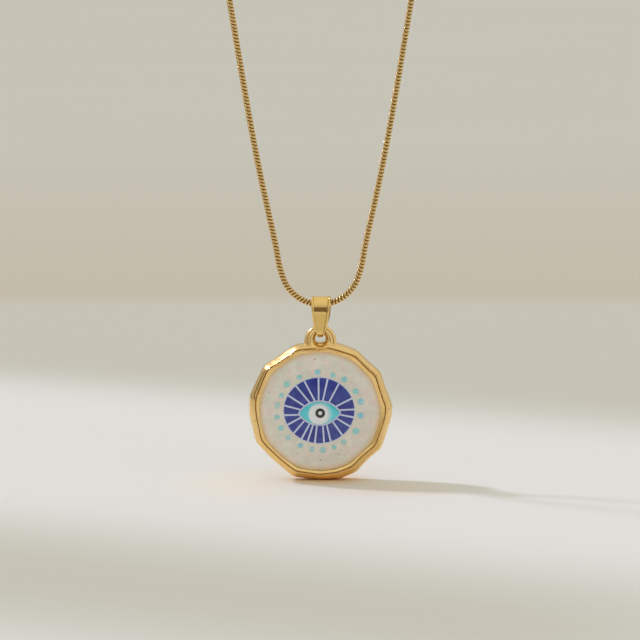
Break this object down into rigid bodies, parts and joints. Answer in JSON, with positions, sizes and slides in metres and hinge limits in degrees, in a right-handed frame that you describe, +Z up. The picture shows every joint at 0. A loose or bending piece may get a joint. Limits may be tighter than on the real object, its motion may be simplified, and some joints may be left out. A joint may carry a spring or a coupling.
{
  "type": "eye pendant",
  "caption": "Round gold-tone pendant with a mother-of-pearl face and an enamel eye, hinged on a folded bail that hangs from a closed loop of fine snake chain.",
  "frame": {"origin": "under the clasp, at the inner top of the chain loop, where it lies on a neck or a peg", "axes": "+Z up, along the hanging loop; +X across the pendant; the pendant's face looks along -Y"},
  "size_m": [0.0656, 0.0028, 0.2256],
  "materials": {
    "chain_gold": "polished gold plate",
    "gold": "polished gold plate",
    "cast_gold": "cast and polished gold plate",
    "pearl": "polished mother-of-pearl",
    "blue_enamel": "gloss",
    "pale_enamel": "gloss",
    "turquoise_enamel": "gloss",
    "white_enamel": "gloss",
    "black_enamel": "gloss",
    "opal": "gloss"
  },
  "bodies": {
    "root": {"chain": "chain_gold", "clasp": "gold"},
    "bail": {"bail": "gold"},
    "pendant": {"case": "cast_gold", "pearl_face": "pearl", "blue_oval": "blue_enamel", "ray_lines": "pale_enamel", "almond": "turquoise_enamel", "iris": "white_enamel", "pupil_ring": "black_enamel", "pupil_dot": "white_enamel", "dots": "opal"}
  },
  "joints": [
    {"name": "bail_swing", "type": "hinge", "parent": "root", "child": "bail", "pos_m": [0, 0, -0.19792], "axis": [1, 0, 0], "range_deg": [-90, 90]},
    {"name": "pendant_swing", "type": "hinge", "parent": "bail", "child": "pendant", "pos_m": [0, 0, -0.20162], "axis": [1, 0, 0], "range_deg": [-45, 45]}
  ]
}
